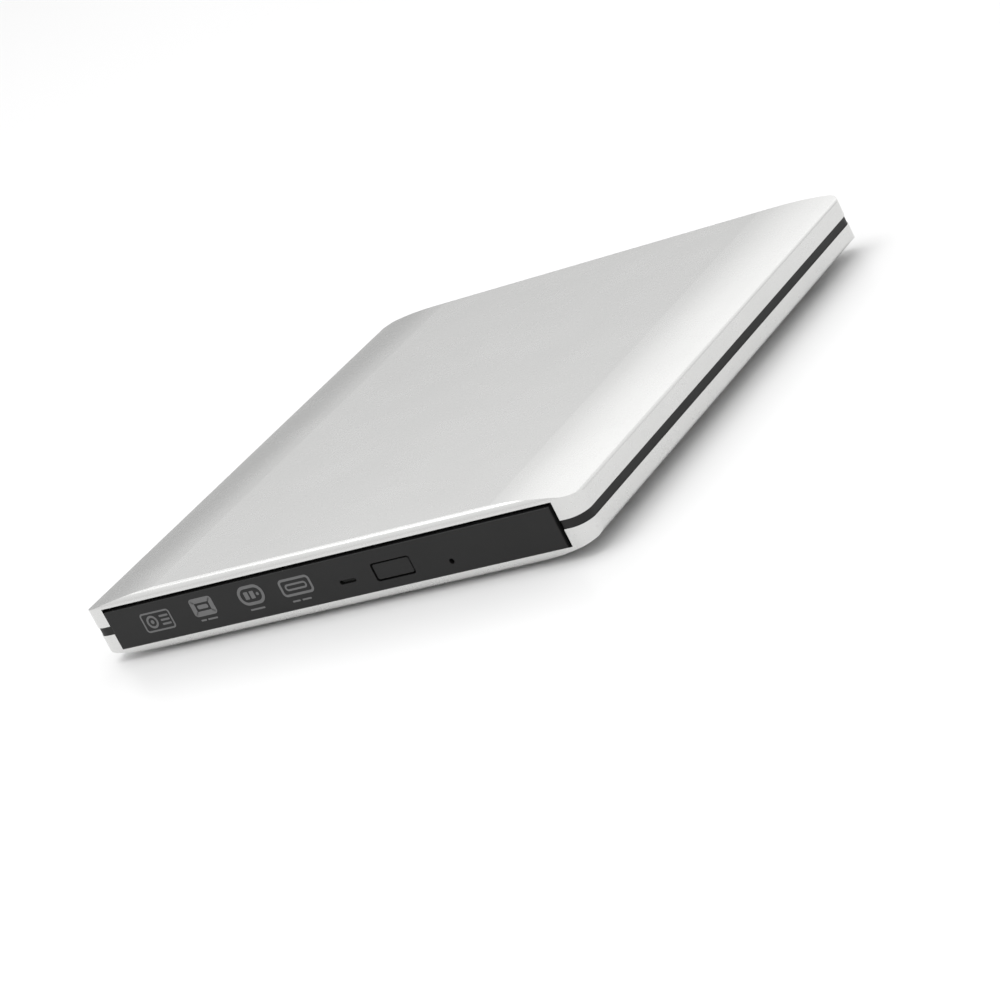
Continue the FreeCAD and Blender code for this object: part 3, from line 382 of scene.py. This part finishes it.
# %% Metals
anodised = make_finish(
    "Blasted anodised aluminium", blasted, (0.635, 0.635, 0.628), (0.695, 0.695, 0.687), (0.23, 0.30), 0.02,
    metallic=1.0, strength=0.14, smudge=0.012, dust=0.10,
)
plated_sheet = make_finish(
    "Zinc plated sheet", brushed, (0.50, 0.51, 0.52), (0.62, 0.63, 0.63), (0.26, 0.42), 0.01,
    metallic=1.0, pattern_values={"Line mm": 0.2, "Stretch": 25.0},
)
rail_steel = make_finish(
    "Drawn rail steel", brushed, (0.55, 0.55, 0.55), (0.66, 0.66, 0.66), (0.22, 0.36), 0.008,
    metallic=1.0, pattern_values={"Line mm": 0.1, "Stretch": 60.0}, smudge=0.10,
)
trim_metal = make_finish(
    "Brushed trim plate", brushed, (0.44, 0.445, 0.45), (0.58, 0.585, 0.59), (0.28, 0.42), 0.01,
    metallic=1.0, pattern_values={"Line mm": 0.14, "Stretch": 45.0, "Turn": math.radians(45.0)},
)
ground_steel = make_finish(
    "Ground steel", brushed, (0.60, 0.60, 0.60), (0.72, 0.72, 0.72), (0.10, 0.20), 0.003,
    metallic=1.0, pattern_values={"Line mm": 0.08, "Stretch": 6.0},
)
screw_nickel = make_finish(
    "Nickel plated screw", blasted, (0.34, 0.34, 0.35), (0.48, 0.48, 0.48), (0.22, 0.34), 0.006,
    metallic=1.0, pattern_values={"Bead mm": 0.15},
)
cast_metal = make_finish(
    "Die-cast pickup body", blasted, (0.20, 0.205, 0.21), (0.32, 0.325, 0.33), (0.42, 0.58), 0.03,
    metallic=0.9, pattern_values={"Bead mm": 0.4},
)
socket_tin = make_finish(
    "Tinned socket steel", brushed, (0.62, 0.62, 0.60), (0.74, 0.74, 0.72), (0.20, 0.32), 0.006,
    metallic=1.0, pattern_values={"Line mm": 0.15, "Stretch": 12.0},
)
core_steel = make_finish(
    "Motor core steel", brushed, (0.16, 0.16, 0.17), (0.26, 0.26, 0.27), (0.36, 0.5), 0.01, metallic=0.9,
    pattern_values={"Line mm": 0.1, "Stretch": 4.0},
)
copper_wire = make_finish(
    "Enamelled copper wire", brushed, (0.42, 0.15, 0.05), (0.62, 0.27, 0.11), (0.20, 0.34), 0.05,
    metallic=0.95, strength=0.8, pattern_values={"Line mm": 0.12, "Stretch": 30.0},
)
gold_plate = make_finish(
    "Gold plated contact", blasted, (0.70, 0.47, 0.17), (0.82, 0.60, 0.27), (0.18, 0.30), 0.004,
    metallic=1.0, pattern_values={"Bead mm": 0.2},
)
print("metals ready")

# %% Plastics, rubber, boards
band_black = make_finish(
    "Matt black band", moulded, (0.012, 0.012, 0.012), (0.020, 0.020, 0.020), (0.46, 0.62), 0.02,
    smudge=0.05, settings={"Specular IOR Level": 0.25},
)
bezel_black = make_finish(
    "Satin front panel", moulded, (0.008, 0.008, 0.008), (0.013, 0.013, 0.013), (0.34, 0.46), 0.012,
    pattern_values={"Grain mm": 0.18}, smudge=0.08, dust=0.2, settings={"Specular IOR Level": 0.25},
)
tray_black = make_finish(
    "Grained tray plastic", moulded, (0.016, 0.016, 0.018), (0.024, 0.024, 0.026), (0.38, 0.54), 0.03,
    pattern_values={"Grain mm": 0.30}, dust=0.12,
)
smooth_black = make_finish(
    "Smooth black moulding", moulded, (0.012, 0.012, 0.013), (0.022, 0.022, 0.023), (0.26, 0.40), 0.006,
)
claw_white = make_finish(
    "Natural sliding plastic", moulded, (0.58, 0.57, 0.52), (0.68, 0.67, 0.62), (0.34, 0.46), 0.008,
    settings={"Subsurface Weight": 0.15},
)
contact_blue = make_finish(
    "Blue contact plastic", moulded, (0.010, 0.055, 0.30), (0.015, 0.075, 0.38), (0.30, 0.42), 0.006,
)
foot_rubber = make_finish(
    "Foot rubber", moulded, (0.018, 0.018, 0.018), (0.032, 0.032, 0.031), (0.62, 0.82), 0.04,
    pattern_values={"Grain mm": 0.35}, dust=0.8,
)
foam_grey = make_finish(
    "Open cell foam", blasted, (0.02, 0.02, 0.02), (0.07, 0.07, 0.07), (0.85, 0.95), 0.25, strength=0.9,
    pattern_values={"Bead mm": 0.6}, tone="Sparkle",
)
board_green = make_finish(
    "Green circuit board", brushed, (0.006, 0.070, 0.026), (0.012, 0.120, 0.045), (0.24, 0.34), 0.02,
    pattern_values={"Line mm": 0.7, "Stretch": 5.0}, tone="Sparkle",
)
chip_black = make_finish(
    "Chip epoxy", moulded, (0.014, 0.014, 0.014), (0.026, 0.026, 0.026), (0.46, 0.58), 0.01,
    pattern_values={"Grain mm": 0.12},
)
ribbon_film = make_finish(
    "Ribbon film", brushed, (0.52, 0.51, 0.48), (0.80, 0.79, 0.75), (0.22, 0.34), 0.02, strength=0.6,
    pattern_values={"Line mm": 0.45, "Stretch": 400.0}, tone="Sparkle",
)
mark_ink = make_finish(
    "Grey printing ink", moulded, (0.105, 0.105, 0.106), (0.150, 0.150, 0.151), (0.50, 0.62), 0.004,
    pattern_values={"Grain mm": 0.1},
)
lamp_plastic = make_finish(
    "Smoked lamp window", moulded, (0.002, 0.002, 0.002), (0.004, 0.005, 0.004), (0.20, 0.30), 0.003,
    settings={"Specular IOR Level": 0.15}, dust=0.0,
)
lens_coating = make_finish(
    "Coated lens glass", moulded, (0.55, 0.62, 0.95), (0.62, 0.72, 1.0), (0.02, 0.04), 0.0005,
    settings={"Transmission Weight": 1.0, "IOR": 1.52}, dust=0.0, smudge=0.0,
)
print("plastics ready")

# %% [markdown]
# ## Finishes on the solid parts
# Most solid parts already have their true shape, so they stay and only get a finish. The table
# goes by the material slot in the part's own record.

# %% Give each solid part its finish
finish_of_slot = {
    "shell": anodised, "black_frame": band_black, "bezel_plastic": bezel_black,
    "black_moulding": smooth_black, "tray_plastic": tray_black, "guide_plastic": smooth_black,
    "claw_plastic": claw_white, "lens_plastic": smooth_black, "contact_plastic": contact_blue,
    "light_pipe": lamp_plastic, "rubber": foot_rubber, "foam": foam_grey, "board": board_green,
    "chips": chip_black, "ribbon": ribbon_film, "drive_steel": plated_sheet, "rail_steel": rail_steel,
    "rod_steel": ground_steel, "screw_steel": screw_nickel, "socket_steel": socket_tin,
    "core_steel": core_steel, "trim_aluminium": trim_metal, "pickup_metal": cast_metal,
    "copper": copper_wire, "pin_brass": gold_plate, "lens_glass": lens_coating,
}
slot_of_node = {row["node"]: row["material_slot"] for row in frame["record"]["subparts"]}


def give_finish(piece, material):
    if not piece.material_slots:
        piece.data.materials.append(material)
    for slot in piece.material_slots:
        slot.material = material


for name, part in nodes.items():
    give_finish(part, finish_of_slot[slot_of_node[name]])
print("finished parts:", len(nodes))

# %% [markdown]
# ## Printed marks on the front panel
# The real panel carries four small grey marks, printed in one go with a silicone pad. Here they are
# plain signs of our own: a disc in its slot, a storage block, a play sign and a track. They could
# be painted in the panel's material, but a print is a layer of ink with sharp edges and its own
# gloss, so each is a very thin piece that lies on the panel's face and moves with the tray.

# %% A flat printed shape
INK = 0.03 * MM
panel_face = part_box("bezel")[0].y


def printed_shape(x, z, width, height, corner=0.0, line=0.0, sides=4):
    """A thin shape on the panel, sizes in millimetres; with a line width only its outline is inked."""
    clear_selection()
    if sides == 4:
        bpy.ops.mesh.primitive_plane_add(size=1.0)
    else:
        bpy.ops.mesh.primitive_circle_add(vertices=sides, radius=0.5, fill_type="NGON")
    piece = bpy.context.object
    piece.scale = (width * MM, height * MM, 1.0)
    piece.rotation_euler.x = math.radians(90.0)
    piece.location = (x * MM, panel_face, z * MM)
    settle(piece)
    edit(piece)
    if corner:
        bpy.ops.mesh.bevel(offset=corner * MM, segments=6, affect="VERTICES")
        bpy.ops.mesh.select_all(action="SELECT")
    if line:
        bpy.ops.mesh.inset(thickness=line * MM)
        bpy.ops.mesh.delete(type="FACE")
    bpy.ops.object.mode_set(mode="OBJECT")
    apply_modifier(piece, "SOLIDIFY", thickness=INK, offset=0.0)
    return piece


print("panel face at y mm:", round(panel_face / MM, 2))

# %% The four marks
ROUND, DOT = 48, 24  # how many sides a ring and a small dot have
marks = {
    "mark_disc": [
        dict(x=-49.7, z=8.3, width=9.0, height=5.0, corner=0.9, line=0.42),
        dict(x=-51.3, z=8.3, width=3.3, height=3.3, line=0.55, sides=ROUND),
        dict(x=-51.3, z=8.3, width=1.0, height=1.0, sides=DOT),
        dict(x=-47.4, z=9.35, width=2.7, height=0.5, corner=0.2),
        dict(x=-47.4, z=8.3, width=2.7, height=0.5, corner=0.2),
        dict(x=-47.4, z=7.25, width=2.7, height=0.5, corner=0.2),
    ],
    "mark_store": [
        dict(x=-35.3, z=9.2, width=6.7, height=4.6, corner=0.9, line=1.25),
        dict(x=-35.3, z=9.2, width=3.1, height=1.0, corner=0.4),
        dict(x=-36.9, z=5.9, width=1.6, height=0.42, corner=0.15),
        dict(x=-34.2, z=5.9, width=2.9, height=0.42, corner=0.15),
    ],
    "mark_play": [
        dict(x=-20.8, z=9.25, width=7.4, height=4.9, corner=2.35, line=0.75),
        dict(x=-22.1, z=9.25, width=1.2, height=1.9, corner=0.2),
        dict(x=-20.4, z=9.25, width=1.2, height=1.9, corner=0.2),
        dict(x=-18.9, z=9.25, width=0.8, height=0.8, sides=DOT),
        dict(x=-20.8, z=5.7, width=4.2, height=0.42, corner=0.15),
    ],
    "mark_track": [
        dict(x=-7.8, z=8.9, width=9.0, height=4.4, corner=1.2, line=0.6),
        dict(x=-7.8, z=8.9, width=6.2, height=1.7, corner=0.8, line=0.45),
        dict(x=-9.6, z=5.4, width=2.2, height=0.42, corner=0.15),
        dict(x=-6.6, z=5.4, width=2.6, height=0.42, corner=0.15),
    ],
}
for name, shapes in marks.items():
    mark = join_pieces([printed_shape(**shape) for shape in shapes], name)
    give_finish(mark, mark_ink)
    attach(mark, "tray")
    print(name, "shapes:", len(shapes), "faces:", len(mark.data.polygons))

# %% [markdown]
# ## Rubber feet
# Four black feet are moulded in silicone rubber and glued into round recesses. The solid ones are
# plain pads. Real ones have a soft edge, a groove that lets the glued disc bend, and a shallow
# middle, so one foot is modelled from a cylinder by bevel, inset and extrude, and then copied.

# %% Feet with a groove
FOOT_RADIUS = 4.5 * MM
SOFT_EDGE = 0.45 * MM
RIM, GROOVE, PAD = 0.8 * MM, 0.45 * MM, 1.3 * MM  # widths of the three rings, from the outside in
GROOVE_DEPTH, MIDDLE_DEPTH = 0.3 * MM, 0.12 * MM
foot_low, foot_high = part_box("rubber_feet")
foot_height = foot_high.z - foot_low.z
clear_selection()
bpy.ops.mesh.primitive_cylinder_add(
    vertices=72, radius=FOOT_RADIUS, depth=foot_height, location=(0, 0, foot_height / 2)
)
foot = settle(bpy.context.object)
foot.name = "grooved_feet"
edit(foot)
pick(foot, "edges", lambda c: c.z < SAME_PLACE and c.length > 0.9 * FOOT_RADIUS)
bpy.ops.mesh.bevel(offset=SOFT_EDGE, segments=4)
pick(foot, "faces", lambda c: c.z < SAME_PLACE and c.length < 0.1 * FOOT_RADIUS)
for width in (RIM, GROOVE, PAD):
    bpy.ops.mesh.inset(thickness=width)
bpy.ops.transform.translate(value=(0, 0, MIDDLE_DEPTH))
groove_outer = FOOT_RADIUS - SOFT_EDGE - RIM
groove_inner = groove_outer - GROOVE
pick(foot, "faces", lambda c: c.z < SAME_PLACE and groove_inner < c.length < groove_outer)
bpy.ops.mesh.extrude_region_move(TRANSFORM_OT_translate={"value": (0, 0, GROOVE_DEPTH)})
bpy.ops.object.mode_set(mode="OBJECT")
foot_places = [
    Vector((x, y, 0))
    for x in (foot_low.x + FOOT_RADIUS, foot_high.x - FOOT_RADIUS)
    for y in (foot_low.y + FOOT_RADIUS, foot_high.y - FOOT_RADIUS)
]
feet = copies(foot, foot_places)
settle(feet, smooth_angle=40)
give_finish(feet, foot_rubber)
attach(feet, "case")
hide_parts("rubber_feet")
print("feet:", len(foot_places), "faces:", len(feet.data.polygons))

# %% [markdown]
# ## Contacts in the data socket
# The two plastic tongues in the socket at the back carry gold contacts, pressed in side by side.
# One contact is a thin strip with its corners taken off, and the others are copies of it.

# %% Gold contacts
tongue_low, tongue_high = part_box("usb_socket_tongues")
CONTACT_LENGTH, CONTACT_THICKNESS, TIP_GAP = 5.4 * MM, 0.12 * MM, 0.25 * MM
IN_A_ROW = 5
WIDE_PITCH, NARROW_PITCH = 0.9 * MM, 0.5 * MM
WIDE_MARGIN, NARROW_MARGIN = 0.75 * MM, 0.35 * MM  # from a tongue's side to its nearest contact


def contact_row(first_x, pitch, width):
    """Five contacts on a tongue's upper side; their front ends stop just short of its tip."""
    clear_selection()
    bpy.ops.mesh.primitive_cube_add(size=1.0)
    strip = bpy.context.object
    strip.scale = (width, CONTACT_LENGTH, CONTACT_THICKNESS)
    strip.location = (0, tongue_high.y - CONTACT_LENGTH / 2 - TIP_GAP, tongue_high.z)
    settle(strip)
    edit(strip)
    bpy.ops.mesh.bevel(offset=0.04 * MM, segments=2)
    bpy.ops.object.mode_set(mode="OBJECT")
    return copies(strip, [Vector((first_x + pitch * i, 0, 0)) for i in range(IN_A_ROW)])


narrow_first = tongue_high.x - NARROW_MARGIN - (IN_A_ROW - 1) * NARROW_PITCH
contacts = join_pieces(
    [
        contact_row(tongue_low.x + WIDE_MARGIN, WIDE_PITCH, width=0.42 * MM),
        contact_row(narrow_first, NARROW_PITCH, width=0.26 * MM),
    ],
    "usb_contacts",
)
give_finish(contacts, gold_plate)
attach(contacts, "case")
print("contacts:", 2 * IN_A_ROW, "faces:", len(contacts.data.polygons))

# %% [markdown]
# ## Ribbon cable
# A flat film cable joins the fixed board to the board in the tray. It lies on the drive's floor,
# folds over and runs back above itself, so it unrolls when the tray moves out. It is made from a
# strip whose front edge is spun half a turn for the fold and then pulled back.

# %% Ribbon
ribbon_low, ribbon_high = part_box("ribbon_cable")
FILM = 0.1 * MM
fold_reach = (ribbon_high.z - ribbon_low.z - FILM) / 2
fold_y = ribbon_low.y + fold_reach + FILM / 2
fold_z = (ribbon_low.z + ribbon_high.z) / 2
FOLD_STEPS = 24
UPPER_END_Y = 11.6 * MM  # where the film enters the tray board's socket
ribbon_x = (ribbon_low.x + ribbon_high.x) / 2
clear_selection()
bpy.ops.mesh.primitive_plane_add(size=1.0)
ribbon = bpy.context.object
ribbon.name = "ribbon_film"
ribbon.scale = (ribbon_high.x - ribbon_low.x, ribbon_high.y - fold_y, 1.0)
ribbon.location = (ribbon_x, (ribbon_high.y + fold_y) / 2, fold_z - fold_reach)
settle(ribbon)
edit(ribbon)
pick(ribbon, "edges", lambda c: abs(c.y - fold_y) < SAME_PLACE)
bpy.ops.mesh.spin(steps=FOLD_STEPS, angle=-math.pi, center=(ribbon_x, fold_y, fold_z), axis=(1, 0, 0))
bpy.ops.mesh.extrude_region_move(TRANSFORM_OT_translate={"value": (0, UPPER_END_Y - fold_y, 0)})
bpy.ops.mesh.select_all(action="SELECT")
bpy.ops.mesh.remove_doubles(threshold=SAME_PLACE / 10)
bpy.ops.mesh.normals_make_consistent(inside=False)
bpy.ops.object.mode_set(mode="OBJECT")
apply_modifier(ribbon, "SOLIDIFY", thickness=FILM, offset=0.0)
settle(ribbon, smooth_angle=30)
give_finish(ribbon, ribbon_film)
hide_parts("ribbon_cable")
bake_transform(ribbon)
print("ribbon fold at y mm:", round(fold_y / MM, 2), "faces:", len(ribbon.data.polygons))

# %% [markdown]
# ## A floor that can be looked through from below
# The drive stands on a plain pale floor that lies a hair under the feet. Its paint shows only on its
# upper side: from below it lets the camera through, so the underside can be looked at too.

# %% Floor
FLOOR_Z, FLOOR_WIDTH = -0.02 * MM, 30.0
clear_selection()
bpy.ops.mesh.primitive_grid_add(
    x_subdivisions=2, y_subdivisions=2, size=FLOOR_WIDTH, location=(0, 0, FLOOR_Z)
)
floor = settle(bpy.context.object)
floor.name = "floor"
floor_paint = bpy.data.materials.new("Pale floor")
floor_paint.use_nodes = True
floor_shader = floor_paint.node_tree.nodes["Principled BSDF"]
floor_shader.inputs["Base Color"].default_value = (0.83, 0.83, 0.83, 1.0)
floor_shader.inputs["Roughness"].default_value = 0.35
floor_tree = floor_paint.node_tree
seen_from_below = add(floor_tree, "ShaderNodeNewGeometry")
nothing = add(floor_tree, "ShaderNodeBsdfTransparent")
one_sided = add(floor_tree, "ShaderNodeMixShader")
floor_tree.links.new(seen_from_below.outputs["Backfacing"], one_sided.inputs["Fac"])
floor_tree.links.new(floor_shader.outputs[0], one_sided.inputs[1])
floor_tree.links.new(nothing.outputs[0], one_sided.inputs[2])
floor_tree.links.new(one_sided.outputs[0], floor_tree.nodes["Material Output"].inputs["Surface"])
floor.data.materials.append(floor_paint)
print("floor placed, width in m:", FLOOR_WIDTH)

# %% [markdown]
# ## Light
# One large soft panel hangs overhead in a pale room. Blasted metal shows what it mirrors as a soft
# gradient, so the room is darker low down behind the drive's left side and paler everywhere else.
# That gives the flat lid its gradient. The plain view transform keeps white white.

# %% The overhead panel
panel_light = bpy.data.lights.new("overhead panel", "AREA")
panel_light.shape = "DISK"
panel_light.size = 1.8
panel_light.energy = 19.0
panel = bpy.data.objects.new("overhead panel", panel_light)
panel.location = (-0.7, -0.1, 2.2)
panel.rotation_euler = (-panel.location).to_track_quat("-Z", "Y").to_euler()
bpy.context.scene.collection.objects.link(panel)
print("panel:", panel_light.energy, "W, distance in m:", round(panel.location.length, 2))

# %% The pale room
world = bpy.data.worlds.new("pale room")
bpy.context.scene.world = world
world.use_nodes = True
sky = world.node_tree
direction = add(sky, "ShaderNodeTexCoord")
height_part = add(sky, "ShaderNodeSeparateXYZ")
sky.links.new(direction.outputs["Generated"], height_part.inputs[0])


def sky_ramp(steps):
    """Brightness by height: pairs of the sine of the height above the horizon, and a grey."""
    ramp = add(sky, "ShaderNodeValToRGB")
    while len(ramp.color_ramp.elements) < len(steps):
        ramp.color_ramp.elements.new(1.0)
    for element, (position, value) in zip(ramp.color_ramp.elements, steps):
        element.position = position
        element.color = (value, value, value, 1.0)
    sky.links.new(height_part.outputs["Z"], ramp.inputs["Fac"])
    return ramp.outputs["Color"]


DARK_WAY = (-0.62, 0.78, 0.0)  # level direction of the darker side of the room
bright_side = sky_ramp([(0.0, 0.50), (0.35, 0.60), (0.65, 0.61)])
dark_side = sky_ramp([
    (0.0, 0.26), (0.17, 0.23), (0.25, 0.34), (0.34, 0.60),
    (0.43, 0.92), (0.51, 1.0), (0.60, 0.66), (0.8, 0.54),
])
towards = add(sky, "ShaderNodeVectorMath", operation="DOT_PRODUCT")
towards.inputs[1].default_value = DARK_WAY
sky.links.new(direction.outputs["Generated"], towards.inputs[0])
side = add(sky, "ShaderNodeMapRange", interpolation_type="SMOOTHSTEP")
side.inputs["From Min"].default_value = 0.25
side.inputs["From Max"].default_value = 0.80
sky.links.new(towards.outputs["Value"], side.inputs["Value"])
room = add(sky, "ShaderNodeMix", data_type="RGBA")
sky.links.new(side.outputs[0], room.inputs["Factor"])
sky.links.new(bright_side, room.inputs[COLOUR_A])
sky.links.new(dark_side, room.inputs[COLOUR_B])
sky.links.new(room.outputs[COLOUR_OUT], sky.nodes["Background"].inputs["Color"])
sky.nodes["Background"].inputs["Strength"].default_value = 1.7
bpy.context.scene.view_settings.view_transform = "Standard"
print("room strength:", sky.nodes["Background"].inputs["Strength"].default_value)
